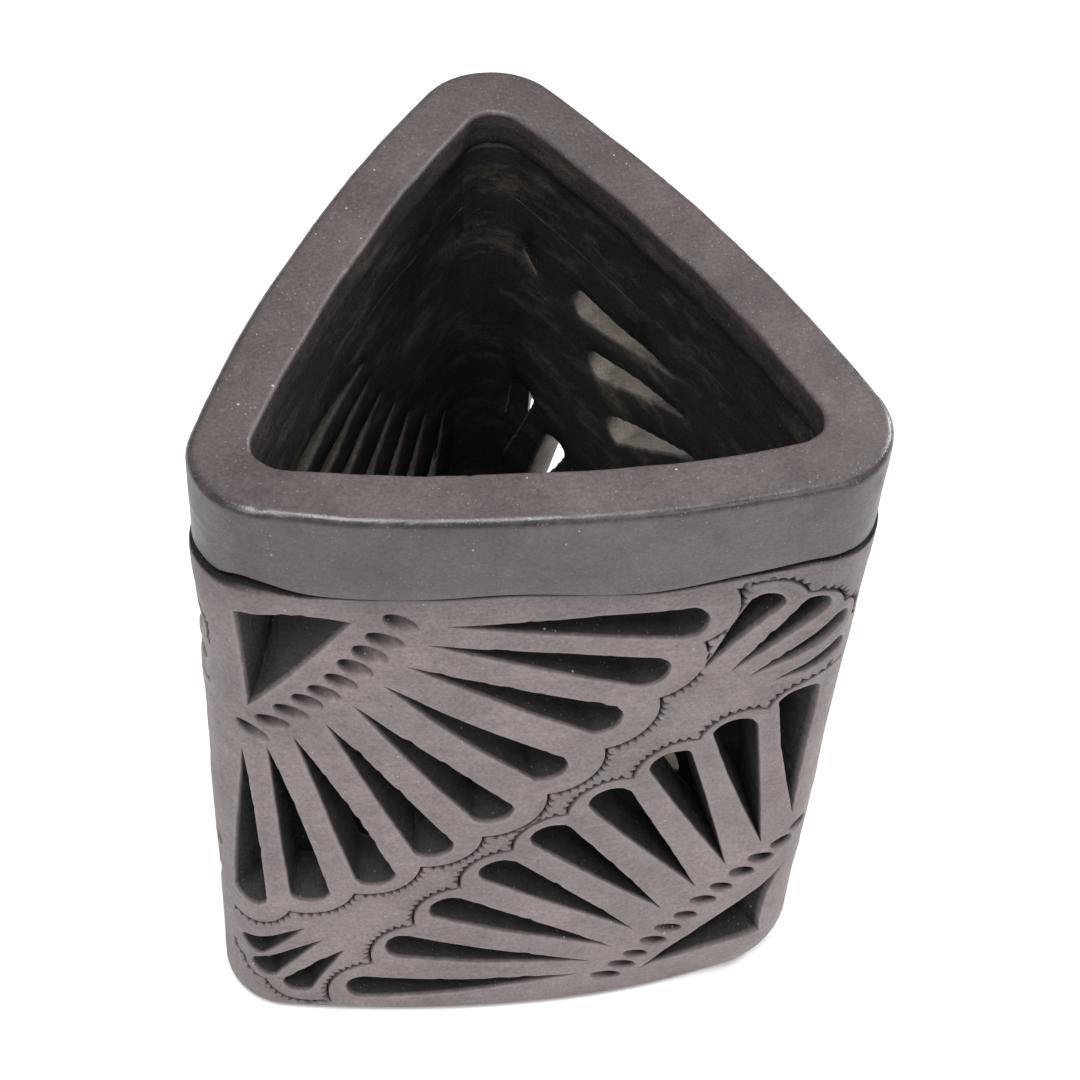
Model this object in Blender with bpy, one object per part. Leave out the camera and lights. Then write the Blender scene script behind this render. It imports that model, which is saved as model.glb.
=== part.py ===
"""Black clay pot (barro negro): a slab-built, three-sided holder with a pierced pattern on each face.

Every dimension below is in millimetres and is turned into metres once, by on_wall() and plan_curve().
The origin is the middle of the base, +Z is up and face 0 looks along -Y. A point of a face is given by
how far along the face it lies (right is positive, seen from outside), how high, and how deep in the wall.
"""

import math

import bmesh
import bpy
from mathutils import Matrix, Vector

MM = 0.001
GAP = 0.3

HEIGHT = 110.0
CORNER_SPACING = 61.2
CORNER_RADIUS = 9.4
FACES = ("front", "right", "left")
BULGES = (2.6, 2.2, 2.2)
WALL = 6.8

BAND_HEIGHT = 13.9
BAND_PROUD = 0.6
BAND_ROUND = 1.2
BASE_THICKNESS = 4.2
FOOT_ROUND = 2.0
FLOOR_COIL = 2.2
COIL_ROUND = 0.6
CORNER_COIL_FLAT = 0.9
CORNER_COIL_BELOW_RIM = 2.5

SIDE_STEPS = 6
CORNER_STEPS = 5
FOOT_STEPS = 3
CUT_MARGIN = 1.5
TOLERANCE = 0.03
SMOOTH_BELOW = math.radians(35)

THIRD_TURN = 2 * math.pi / 3
FRONT = math.radians(-90)

# A fan is a row of pierced petals: their points lie on one Bezier curve and their round ends on another.
# Each entry holds the control points of both curves, the number of petals, and the first and last half widths.
FANS = {
    "upper": (
        ((-11.6, 90.6), (-14.9, 82.2), (-28.5, 65.7), (-36.2, 63.8)),
        ((20.0, 87.3), (9.7, 64.0), (-12.4, 29.6), (-37.2, 26.4)),
        9, 3.0, 2.7,
    ),
    "lower": (
        ((9.0, 8.0), (12.6, 15.1), (25.5, 29.1), (36.6, 40.4)),
        ((-23.4, 7.0), (-9.7, 39.6), (11.4, 59.3), (33.5, 71.0)),
        9, 3.0, 2.9,
    ),
    "upper_corner": (
        ((20.3, 78.2), (29.5, 73.8)),
        ((27.9, 91.5), (35.4, 91.5), (39.0, 83.5), (38.8, 77.7)),
        4, 2.3, 1.6,
    ),
    "lower_corner": (
        ((-29.4, 22.2), (-23.9, 16.9)),
        ((-38.4, 14.5), (-38.4, 7.9), (-31.4, 5.6)),
        3, 2.2, 2.2,
    ),
}

# Two three-cornered holes: their corners, and how far the side that leaves each corner bows outwards.
TRIANGLES = (
    (((-36.2, 91.6), 0.0), ((-35.1, 73.4), 0.4), ((-22.4, 91.2), 0.9)),
    (((37.4, 27.4), 0.4), ((18.4, 7.1), -0.5), ((35.5, 10.7), -1.2)),
)

# A petal's outline, as parts of its length and of its half width, up to where its round end starts.
PETAL_FLANK = ((0.30, 0.38), (0.62, 0.74))
PETAL_END = 0.85
END_STEPS = 4

# Each clay's colour and roughness.
WALL_CLAY = ((0.118, 0.104, 0.106), 0.62)
RIM_CLAY = ((0.135, 0.120, 0.122), 0.5)
INNER_CLAY = ((0.060, 0.052, 0.053), 0.8)


def clear_scene():
    for old in list(bpy.data.objects):
        bpy.data.objects.remove(old, do_unlink=True)


def new_collection(name, render=True):
    collection = bpy.data.collections.new(name)
    collection.hide_render = not render
    bpy.context.scene.collection.children.link(collection)
    return collection


def clay(name, color, roughness):
    material = bpy.data.materials.new(name)
    material.use_nodes = True
    shader = material.node_tree.nodes["Principled BSDF"]
    shader.inputs["Base Color"].default_value = (*color, 1.0)
    shader.inputs["Roughness"].default_value = roughness
    shader.inputs["Metallic"].default_value = 0.0
    return material


# The plan: three long side arcs joined by three corner arcs, all tangent to each other.


def corner(index):
    """The centre of a corner's arc: corner k lies at the start of face k, and the apex is at +Y."""
    angle = FRONT + (index - 0.5) * THIRD_TURN
    reach = CORNER_SPACING / math.sqrt(3)
    return Vector((reach * math.cos(angle), reach * math.sin(angle)))


def side_arc(face):
    """Centre, radius at the outer skin, middle angle and half angle of a face's long arc."""
    start, end = corner(face), corner(face + 1)
    bulge = BULGES[face % len(FACES)]
    curve = (CORNER_SPACING**2 / 4 + bulge**2) / (2 * bulge)
    middle_angle = FRONT + face * THIRD_TURN
    outward = Vector((math.cos(middle_angle), math.sin(middle_angle)))
    centre = (start + end) / 2 + outward * (bulge - curve)
    half_angle = math.asin(CORNER_SPACING / 2 / curve)
    return centre, curve + CORNER_RADIUS, middle_angle, half_angle


def half_corner(index):
    """Half of the angle that a corner's arc turns through."""
    return (THIRD_TURN - side_arc(index - 1)[3] - side_arc(index)[3]) / 2


def face_reach(face, side):
    """Distance along the outer skin from a face's middle to the mitre at its start (-1) or end (+1)."""
    _, radius, _, half_angle = side_arc(face)
    end = face if side < 0 else face + 1
    return side * (radius * half_angle + CORNER_RADIUS * half_corner(end))


def plan_point(face, along, depth):
    """The point of the plan that lies this far along a face and this deep in its wall, in millimetres."""
    centre, radius, middle_angle, half_angle = side_arc(face)
    flat = radius * half_angle
    if abs(along) <= flat:
        angle = middle_angle + along / radius
    else:
        past = abs(along) - flat
        angle = middle_angle + math.copysign(half_angle + past / CORNER_RADIUS, along)
        centre = corner(face if along < 0 else face + 1)
        radius = CORNER_RADIUS
    return centre + (radius - depth) * Vector((math.cos(angle), math.sin(angle)))


def on_wall(face, along, up, depth):
    x, y = plan_point(face, along, depth)
    return Vector((x, y, up)) * MM


def stations(face, gap=0.0):
    """Places along a face where its plan is sampled, closer together round the corners."""
    start, end = face_reach(face, -1) + gap, face_reach(face, 1) - gap
    _, radius, _, half_angle = side_arc(face)
    flat = radius * half_angle
    left = [start + (-flat - start) * step / CORNER_STEPS for step in range(CORNER_STEPS)]
    middle = [-flat + 2 * flat * step / SIDE_STEPS for step in range(SIDE_STEPS + 1)]
    right = [end + (flat - end) * step / CORNER_STEPS for step in reversed(range(CORNER_STEPS))]
    return left + middle + right


def plan_loop(depth):
    """The closed outline at one depth, anticlockwise from above."""
    return [plan_point(face, along, depth) for face in range(len(FACES)) for along in stations(face)[:-1]]


# The pattern, as closed outlines on the unrolled face.


def bezier(points, t):
    points = [Vector(point) for point in points]
    while len(points) > 1:
        points = [a.lerp(b, t) for a, b in zip(points, points[1:])]
    return points[0]


def petal_outline(tip, end, half_width):
    """A teardrop: a sharp point, flanks that widen evenly, and a blunt round end."""
    axis = end - tip
    length = axis.length
    axis.normalize()
    across = Vector((-axis.y, axis.x))
    cap = PETAL_END * half_width
    side = [(part * length, width * half_width) for part, width in PETAL_FLANK]
    for step in range(END_STEPS + 1):
        angle = math.pi / 2 * (1 - step / END_STEPS)
        side.append((length - cap + cap * math.cos(angle), half_width * math.sin(angle)))
    profile = [(0.0, 0.0)] + [(x, -y) for x, y in side] + [(x, y) for x, y in reversed(side[:-1])]
    return [tip + axis * x + across * y for x, y in profile]


def fan_outlines(tips, ends, count, first_width, last_width):
    for index in range(count):
        t = index / (count - 1)
        half_width = first_width + (last_width - first_width) * t
        yield petal_outline(bezier(tips, t), bezier(ends, t), half_width)


def triangle_outline(corners):
    outline = []
    for (point, bow), (following, _) in zip(corners, corners[1:] + corners[:1]):
        start, end = Vector(point), Vector(following)
        run = (end - start).normalized()
        outline += [start, (start + end) / 2 + Vector((run.y, -run.x)) * bow]
    return outline


def hole_outlines():
    for fan in FANS.values():
        yield from fan_outlines(*fan)
    for corners in TRIANGLES:
        yield triangle_outline(corners)


# The solids.


def add_object(name, mesh, material, collection):
    mesh.name = name
    mesh.materials.clear()
    mesh.materials.append(material)
    mesh.shade_smooth()
    mesh.set_sharp_from_angle(angle=SMOOTH_BELOW)
    obj = bpy.data.objects.new(name, mesh)
    collection.objects.link(obj)
    return obj


def mesh_from(bm, name):
    bmesh.ops.recalc_face_normals(bm, faces=bm.faces)
    mesh = bpy.data.meshes.new(name)
    bm.to_mesh(mesh)
    bm.free()
    return mesh


def bend(bm, face):
    """Take a flat panel, drawn as (along, depth, up), round the pot's plan."""
    for vertex in bm.verts:
        along, depth, up = vertex.co
        vertex.co = on_wall(face, along, up, depth)


def wall_panel(face):
    """A flat slab with a rounded foot, cut into columns and bent to the plan."""
    places = stations(face, gap=GAP / 2)
    top = HEIGHT - BAND_HEIGHT - GAP / 2
    size = Vector((places[-1] - places[0], WALL, top))
    middle = Vector(((places[-1] + places[0]) / 2, WALL / 2, top / 2))
    bm = bmesh.new()
    slab = Matrix.Translation(middle) @ Matrix.Diagonal(size).to_4x4()
    bmesh.ops.create_cube(bm, size=1.0, matrix=slab)
    foot = [e for e in bm.edges if all(max(v.co.y, v.co.z) < TOLERANCE for v in e.verts)]
    bmesh.ops.bevel(bm, geom=foot, offset=FOOT_ROUND, segments=FOOT_STEPS, profile=0.5, affect="EDGES")
    for place in places[1:-1]:
        geometry = bm.verts[:] + bm.edges[:] + bm.faces[:]
        bmesh.ops.bisect_plane(bm, geom=geometry, plane_co=(place, 0, 0), plane_no=(1, 0, 0))
    bend(bm, face)
    return mesh_from(bm, f"wall_{FACES[face]}")


def hole_cutter(face):
    """All of a face's holes as prisms that run past both sides of its wall."""
    bm = bmesh.new()
    for outline in hole_outlines():
        ring = [bm.verts.new((point.x, -CUT_MARGIN, point.y)) for point in outline]
        cap = bm.faces.new(ring)
        extruded = bmesh.ops.extrude_face_region(bm, geom=[cap])["geom"]
        moved = [item for item in extruded if isinstance(item, bmesh.types.BMVert)]
        bmesh.ops.translate(bm, verts=moved, vec=(0, WALL + 2 * CUT_MARGIN, 0))
    bend(bm, face)
    bmesh.ops.triangulate(bm, faces=[f for f in bm.faces if len(f.verts) > 4])
    return mesh_from(bm, f"holes_{FACES[face]}")


def add_wall(face, material, parts, cutters):
    wall = add_object(f"wall_{FACES[face]}", wall_panel(face), material, parts)
    holes = add_object(f"holes_{FACES[face]}", hole_cutter(face), material, cutters)
    holes.hide_render = True
    holes.display_type = "WIRE"
    cut = wall.modifiers.new("holes", "BOOLEAN")
    cut.operation = "DIFFERENCE"
    cut.solver = "EXACT"
    cut.object = holes


def plan_curve(name, loops, low, high, rounding=0.0):
    """The mesh of a flat outline, extruded between two heights, with its edges rounded."""
    curve = bpy.data.curves.new(name, "CURVE")
    curve.dimensions = "2D"
    curve.fill_mode = "BOTH"
    curve.extrude = ((high - low) / 2 - rounding) * MM
    curve.bevel_depth = rounding * MM
    curve.bevel_resolution = 1
    curve.offset = -rounding * MM
    for loop in loops:
        spline = curve.splines.new("POLY")
        spline.points.add(len(loop) - 1)
        for place, point in zip(spline.points, loop):
            place.co = (point[0] * MM, point[1] * MM, 0, 1)
        spline.use_cyclic_u = True
    source = bpy.data.objects.new(name, curve)
    bpy.context.scene.collection.objects.link(source)
    graph = bpy.context.evaluated_depsgraph_get()
    mesh = bpy.data.meshes.new_from_object(source.evaluated_get(graph))
    bpy.data.objects.remove(source)
    mesh.transform(Matrix.Translation((0, 0, (low + high) / 2 * MM)))
    bm = bmesh.new()
    bm.from_mesh(mesh)
    bmesh.ops.remove_doubles(bm, verts=bm.verts, dist=TOLERANCE * MM)
    bpy.data.meshes.remove(mesh)
    return mesh_from(bm, name)


def corner_coil_outline(index):
    """A round coil pressed into a corner: it fills the corner and is flattened towards the room."""
    radius = CORNER_RADIUS - WALL - GAP
    outward = corner(index).normalized()
    facing = math.atan2(outward.y, outward.x)
    spread = math.acos(-CORNER_COIL_FLAT / radius)
    steps = 2 * CORNER_STEPS
    angles = [facing - spread + 2 * spread * step / steps for step in range(steps + 1)]
    return [corner(index) + radius * Vector((math.cos(a), math.sin(a))) for a in angles]


def add_coils(material, parts):
    """The coils pressed in to seal the joints: one round the floor, and one up each corner on top of it."""
    low = BASE_THICKNESS + GAP
    loops = [plan_loop(WALL + GAP), plan_loop(WALL + FLOOR_COIL)]
    coil = plan_curve("floor_coil", loops, low, low + FLOOR_COIL, COIL_ROUND)
    add_object("floor_coil", coil, material, parts)
    low += FLOOR_COIL + GAP
    for index, place in enumerate(("front_left", "front_right", "back")):
        name = f"corner_coil_{place}"
        coil = plan_curve(name, [corner_coil_outline(index)], low, HEIGHT - CORNER_COIL_BELOW_RIM)
        add_object(name, coil, material, parts)


def main():
    clear_scene()
    parts = new_collection("black_clay_pot")
    cutters = new_collection("cutters", render=False)
    wall_clay = clay("wall_clay", *WALL_CLAY)
    rim_clay = clay("rim_clay", *RIM_CLAY)
    inner_clay = clay("inner_clay", *INNER_CLAY)

    base = plan_curve("base_slab", [plan_loop(WALL + GAP)], 0, BASE_THICKNESS)
    add_object("base_slab", base, inner_clay, parts)
    for face in range(len(FACES)):
        add_wall(face, wall_clay, parts, cutters)

    band_loops = [plan_loop(-BAND_PROUD), plan_loop(WALL)]
    band = plan_curve("rim_band", band_loops, HEIGHT - BAND_HEIGHT + GAP / 2, HEIGHT, BAND_ROUND)
    add_object("rim_band", band, rim_clay, parts)
    add_coils(inner_clay, parts)


main()
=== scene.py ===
"""Looks of the black clay pot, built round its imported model.

Lengths are in millimetres, apart from the lights and the floor, and MM turns them into metres once. A point
of a face is given by how far along the face it lies (right is positive, seen from outside), how high, and how
deep below the outer skin.
"""

import math

import bpy
import numpy as np
from mathutils import Matrix, Vector, noise
from mathutils.geometry import delaunay_2d_cdt
from mathutils.kdtree import KDTree


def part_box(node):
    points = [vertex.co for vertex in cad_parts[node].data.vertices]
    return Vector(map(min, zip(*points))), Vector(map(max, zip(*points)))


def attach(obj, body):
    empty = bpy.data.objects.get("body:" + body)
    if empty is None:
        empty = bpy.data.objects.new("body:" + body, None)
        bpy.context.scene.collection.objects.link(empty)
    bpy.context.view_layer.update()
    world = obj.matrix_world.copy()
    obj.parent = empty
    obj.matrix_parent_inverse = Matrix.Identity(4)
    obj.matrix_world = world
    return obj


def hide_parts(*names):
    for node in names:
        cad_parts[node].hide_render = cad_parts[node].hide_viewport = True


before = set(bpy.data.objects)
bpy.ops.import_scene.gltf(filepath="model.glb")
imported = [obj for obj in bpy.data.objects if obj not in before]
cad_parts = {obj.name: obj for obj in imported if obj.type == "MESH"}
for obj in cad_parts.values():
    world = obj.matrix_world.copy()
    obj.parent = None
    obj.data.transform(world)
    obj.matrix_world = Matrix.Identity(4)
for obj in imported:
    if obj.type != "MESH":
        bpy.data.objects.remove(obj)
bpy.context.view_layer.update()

MM = 0.001
SEED = 41
rng = np.random.default_rng(SEED)

# The plan, as in the CAD source.
CORNER_SPACING = 61.2
CORNER_RADIUS = 9.4
BULGES = (2.6, 2.2, 2.2)
WALL = 6.8
BAND_PROUD = 0.6
FOOT_ROUND = 2.0
FLOOR_COIL = 2.2
GAP = 0.3
THIRD_TURN = 2 * math.pi / 3
FRONT = math.radians(-90)
FACE_NAMES = ("front", "right", "left")

# Heights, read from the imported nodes.
BAND_LOW, HEIGHT = (end.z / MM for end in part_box("rim_band"))
BASE_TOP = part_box("base_slab")[1].z / MM
COIL_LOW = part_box("floor_coil")[0].z / MM
CORNER_COIL_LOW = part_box("corner_coil_back")[0].z / MM
SEAM = BAND_LOW - GAP / 2

# Tapers: the shares of a petal's length that its inner opening loses at the point and at the round end,
# and the share of its width that it keeps.
BIG_TAPER = (0.27, 0.08, 0.72)
CORNER_TAPER = (0.6, 0.14, 0.45)
# Each fan: the Bezier curves of its petals' points and round ends, how many petals, first and last half
# width, and taper.
FANS = {
    "upper": (
        ((-11.6, 90.6), (-14.9, 82.2), (-28.5, 65.7), (-36.2, 63.8)),
        ((20.0, 87.3), (9.7, 64.0), (-12.4, 29.6), (-37.2, 26.4)),
        9, 3.0, 2.7, BIG_TAPER,
    ),
    "lower": (
        ((9.0, 8.0), (12.6, 15.1), (25.5, 29.1), (36.6, 40.4)),
        ((-23.4, 7.0), (-9.7, 39.6), (11.4, 59.3), (33.5, 71.0)),
        9, 3.0, 2.9, BIG_TAPER,
    ),
    "upper_corner": (
        ((20.3, 78.2), (29.5, 73.8)),
        ((27.9, 91.5), (35.4, 91.5), (39.0, 83.5), (38.8, 77.7)),
        4, 2.3, 1.6, CORNER_TAPER,
    ),
    "lower_corner": (
        ((-29.4, 22.2), (-23.9, 16.9)),
        ((-38.4, 14.5), (-38.4, 7.9), (-31.4, 5.6)),
        3, 2.2, 2.2, CORNER_TAPER,
    ),
}
# Three-cornered cuts: corners with the bow of the side after each, and the inner opening's middle and scale.
TRIANGLES = (
    ((((-36.2, 91.6), 0.0), ((-35.1, 73.4), 0.4), ((-22.4, 91.2), 0.9)), (-31.4, 88.6), 0.34),
    ((((37.4, 27.4), 0.4), ((18.4, 7.1), -0.5), ((35.5, 10.7), -1.2)), (32.3, 14.2), 0.42),
)
# The scored border outside each fan: the Bezier curve that its cusps lie on, and how many there are.
BORDERS = {
    "upper": (((22.2, 93.8), (15.3, 63.7), (-13.7, 32.0), (-39.9, 23.0)), 10),
    "lower": (((-25.5, 2.6), (-9.4, 36.0), (9.4, 61.0), (39.6, 72.0)), 10),
    "upper_corner": (((24.0, 93.4), (36.0, 91.0), (40.4, 84.0), (40.0, 75.6)), 5),
    "lower_corner": (((-39.9, 13.5), (-39.0, 12.5), (-37.5, 7.1), (-26.6, 3.4)), 4),
}
# Rows of gouged dimples: the curve they lie on, how many, the first and last (length, width, tilt), and
# which end is deep.
DIMPLES = (
    (((-34.7, 68.3), (-27.0, 76.5), (-21.7, 80.0), (-16.7, 91.6)), 10, (5.0, 2.5, -28), (4.8, 2.6, -34), -1),
    (((38.2, 36.2), (28.3, 29.0), (20.5, 14.7), (13.1, 6.3)), 12, (3.4, 2.5, -10), (4.3, 2.2, -20), 1),
)

# A dimple's rings: size, share of its depth, how many points, painted shade, and wear with painted highlight.
DIMPLE_RINGS = (
    (1.12, 0.0, 22, 0.0, 0.1), (1.0, 0.08, 22, 0.4, 0.6), (0.9, 0.42, 20, 0.95, 0.1),
    (0.72, 0.76, 18, 1.1, 0.0), (0.5, 0.94, 14, 1.1, 0.0), (0.26, 1.0, 8, 1.0, 0.0),
)

# Petals: (place, width) at two points of a flank, the reach of the round end and its facets.
PETAL_FLANK = ((0.30, 0.38), (0.62, 0.74))
PETAL_END = 0.85
END_FACETS = 5
# Borders: how far a lobe bows, its nicks, and how the score fades at its ends.
LOBE_RISE = 0.22
NICK_PITCH = 1.08
NICK_LENGTH = 1.35
NICK_BOTTOM = 0.68
SCORE_DEPTH = 1.0
FADE = 0.9
DIMPLE_DEPTH = 1.8
# Spacing of the points, and where the strips along the crease start.
OUTLINE_STEP = 0.7
GRID_STEP = 1.25
INNER_GRID_STEP = 2.4
CREASE_ZONE = 94.2
# How much further in than up a rounded edge at the crease reaches, and room kept round holes.
SHOULDER_REACH = 1.7
HOLE_MARGIN = 0.45
RIM_GAP = 0.35
# The rim band and the filled inner corners.
RIM_ROUND = 1.15
RIM_INNER_ROUND = 0.6
LIP_STEPS = 7
BAND_FILLET = 4.2
COIL_FILLET = 5.6
# Rows down a cut face, as shares of its depth.
CUT_ROWS = (0.08, 0.2, 0.36, 0.52, 0.68, 0.82, 0.93)
CUT_START = 0.35
FAR = 9.0  # further than any point that matters
BAND_STANDS_BACK = 0.75
# The band's inside, as (past its inner edge, below its top), and the floor coil in section.
BAND_STRIP = ((0.05, 1.6), (0.12, 2.6), (0.2, 3.6), (0.22, 4.3), (0.05, 4.9))
COIL_SECTION = (
    (0.0, 0.0), (0.0, 1.0), (0.35, 0.95), (0.68, 0.7), (0.92, 0.38), (1.0, 0.1), (0.96, 0.0),
)
SHARP_ANGLE = math.radians(38.0)
# Shades of the parts that are sooty all over.
INSIDE = (0.0, 0.0, 1.0, 0.0)
UNDERSIDE = (0.0, 0.0, 0.3, 0.0)


def norm(vector):
    return float(np.linalg.norm(vector))


def lengths(vectors):
    return np.linalg.norm(vectors, axis=-1)


def left_of(direction):
    return np.array((-direction[1], direction[0]))


# The plan: three long side arcs joined by three corner arcs.


def corner(index):
    """Centre of a corner's arc: corner k lies at the start of face k, and the apex is at +Y."""
    angle = FRONT + (index - 0.5) * THIRD_TURN
    reach = CORNER_SPACING / math.sqrt(3)
    return np.array((reach * math.cos(angle), reach * math.sin(angle)))


def side_arc(face):
    """Centre, radius at the outer skin, middle angle and half angle of a face's long arc."""
    start, end = corner(face), corner(face + 1)
    bulge = BULGES[face % 3]
    curve = (CORNER_SPACING**2 / 4 + bulge**2) / (2 * bulge)
    middle_angle = FRONT + face * THIRD_TURN
    outward = np.array((math.cos(middle_angle), math.sin(middle_angle)))
    centre = (start + end) / 2 + outward * (bulge - curve)
    half_angle = math.asin(CORNER_SPACING / 2 / curve)
    return centre, curve + CORNER_RADIUS, middle_angle, half_angle


def face_reach(face, side):
    """Distance along the outer skin from a face's middle to the mitre at its start (-1) or end (+1)."""
    _, radius, _, half_angle = side_arc(face)
    end = face if side < 0 else face + 1
    turn = (THIRD_TURN - side_arc(end - 1)[3] - side_arc(end)[3]) / 2
    return side * (radius * half_angle + CORNER_RADIUS * turn)


def on_wall(face, along, up, depth):
    """Points of a face, as rows of three numbers."""
    along, up, depth = np.broadcast_arrays(*(np.asarray(x, float) for x in (along, up, depth)))
    centre, radius, middle_angle, half_angle = side_arc(face)
    past = np.abs(along) - radius * half_angle
    bent = np.sign(along) * (half_angle + past / CORNER_RADIUS)
    angle = middle_angle + np.where(past <= 0, along / radius, bent)
    ends = np.where((along < 0)[..., None], corner(face), corner(face + 1))
    x, y = np.moveaxis(np.where((past > 0)[..., None], ends, centre), -1, 0)
    reach = np.where(past > 0, CORNER_RADIUS, radius) - depth
    return np.stack((x + reach * np.cos(angle), y + reach * np.sin(angle), up), axis=-1)


def bezier(points, t):
    points = [np.array(point, float) for point in points]
    while len(points) > 1:
        points = [a + (b - a) * t for a, b in zip(points, points[1:])]
    return points[0]


def waves(points, size, seed=0.0):
    """Smooth noise in -1 to 1 at each point: size is the width of its swells in millimetres."""
    shift = Vector((seed * 17.3, seed * 5.1, seed * 9.7))
    return np.array([noise.noise(Vector(point) / size + shift) for point in points])


def layers(points, *rows):
    """The sum of some waves, each given by its height, size and seed."""
    return sum(height * waves(points, size, seed) for height, size, seed in rows)


def smooth_step(x, low, high):
    t = np.clip((np.asarray(x, float) - low) / (high - low), 0.0, 1.0)
    return t * t * (3 - 2 * t)


# The crease between the walls and the rim band: its height, and how wide it gapes.


def bump_at(along, middle, width):
    return np.exp(-(((along - middle) / width) ** 2))


# Bumps of each face's crease, as (middle, width, size), and the values at the corners.
CREASE = (
    ((-34.5, 4.5, 1.5), (-4.0, 6.5, 0.6), (13.0, 8.0, -0.9), (31.5, 4.0, 0.5)),
    ((-22.0, 9.0, 0.7), (6.0, 7.0, -0.6), (29.0, 6.0, 0.6)),
    ((-28.0, 6.0, -0.5), (-8.0, 8.0, 0.8), (20.0, 9.0, -0.5)),
)
CREASE_GAPE = (
    ((-36.0, 6.5, 1.0), (-5.0, 9.0, 0.2), (19.0, 16.0, 0.35)),
    ((-10.0, 12.0, 0.35), (24.0, 9.0, 0.5)),
    ((-20.0, 9.0, 0.45), (14.0, 10.0, 0.3)),
)
CREASE_AT_CORNERS = (0.5, -0.6, -0.6)
GAPE_AT_CORNERS = (0.45, 0.1, 0.1)
CREASE_LEAST = 0.28
SEAM_HALF = 0.04  # half of the gap left between walls and band


def near_corner(where, index, width):
    """1 at the outer skin of a corner, falling to 0 with distance."""
    spot = corner(index) * (1 + CORNER_RADIUS / norm(corner(index)))
    return np.exp(-((where[..., :2] - spot) ** 2).sum(axis=-1) / width**2)


def along_crease(face, along, bumps, at_corners):
    """The bumps of a face's crease, which fade towards both corners into the values there."""
    inside = smooth_step(face_reach(face, 1) - np.abs(along), 0.0, 6.0)
    rise = sum(size * bump_at(along, middle, width) for middle, width, size in bumps[face])
    ends = np.where(np.asarray(along) < 0, at_corners[face % 3], at_corners[(face + 1) % 3])
    return rise * inside + ends * (1 - inside)


def crease_height(face, along):
    return SEAM + along_crease(face, along, CREASE, CREASE_AT_CORNERS)


def crease_round(face, along):
    return CREASE_LEAST + along_crease(face, along, CREASE_GAPE, GAPE_AT_CORNERS)


# Flat outlines.


def resample(points, step):
    """Points about this far apart along a closed polyline, keeping its corners."""
    points = [np.array(point, float) for point in points]
    result = []
    for start, end in zip(points, points[1:] + points[:1]):
        parts = max(1, round(norm(end - start) / step))
        result += [start + (end - start) * part / parts for part in range(parts)]
    return np.array(result)


def petal_outlines(tip, end, half_width, bow, taper):
    """A teardrop with a sharp point, bowed flanks and a blunt, faceted end, and its inner opening."""
    length = norm(end - tip)
    axis = (end - tip) / length
    across = left_of(axis)
    cap = PETAL_END * half_width
    side = [(part * length, width * half_width) for part, width in PETAL_FLANK]
    for step in range(END_FACETS + 1):
        angle = math.pi / 2 * (1 - step / END_FACETS)
        side.append((length - cap + cap * math.cos(angle), half_width * math.sin(angle)))
    low = [(x, -y * rng.uniform(0.95, 1.04)) for x, y in side]
    high = [(x, y * rng.uniform(0.95, 1.04)) for x, y in side[:-1]]
    x, y = resample([(0.0, 0.0)] + low + high[::-1], OUTLINE_STEP).T
    lost_at_tip, lost_at_end, width = taper
    inner_x = lost_at_tip * length + x * (1 - lost_at_tip - lost_at_end)
    curve = bow * np.sin(math.pi * x / length)
    outer = tip + np.outer(x, axis) + np.outer(y + curve, across)
    inner = tip + np.outer(inner_x, axis) + np.outer(width * y + curve, across)
    return outer, inner


def fan_outlines(tips, ends, count, first_width, last_width, taper):
    for index in range(count):
        t = index / (count - 1)
        half_width = first_width + (last_width - first_width) * t
        tip = bezier(tips, t) + rng.uniform(-0.3, 0.3, 2)
        end = bezier(ends, t) + rng.uniform(-0.25, 0.25, 2)
        yield petal_outlines(tip, end, half_width, rng.uniform(-0.3, 0.3), taper)


def triangle_outlines(corners, opening_middle, scale):
    outline = []
    for (point, bow), (following, _) in zip(corners, corners[1:] + corners[:1]):
        start, end = np.array(point), np.array(following)
        run = (end - start) / norm(end - start)
        middle = (start + end) / 2 - 2 * bow * left_of(run)
        outline += [bezier((start, middle, end), step / 12) for step in range(12)]
    outer = resample(outline, OUTLINE_STEP)
    return outer, opening_middle + (outer - outer.mean(axis=0)) * scale


def is_clockwise(outline):
    x, y = outline.T
    return (x * np.roll(y, -1) - np.roll(x, -1) * y).sum() <= 0


def outward_of(outline):
    """Unit vectors that point out of a closed outline at each of its points."""
    run = np.roll(outline, -1, axis=0) - np.roll(outline, 1, axis=0)
    run /= lengths(run)[:, None]
    out = np.stack((run[:, 1], -run[:, 0]), axis=1)
    return -out if is_clockwise(outline) else out


def inside_outline(points, outline):
    """Which points lie in a closed outline."""
    x, y = points[:, :1], points[:, 1:]
    ax, ay = outline[:, 0], outline[:, 1]
    bx, by = np.roll(ax, -1), np.roll(ay, -1)
    crosses = (ay > y) != (by > y)
    rise = np.where(by == ay, 1.0, by - ay)
    return (crosses & (x < (bx - ax) * (y - ay) / rise + ax)).sum(axis=1) % 2 == 1


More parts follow.
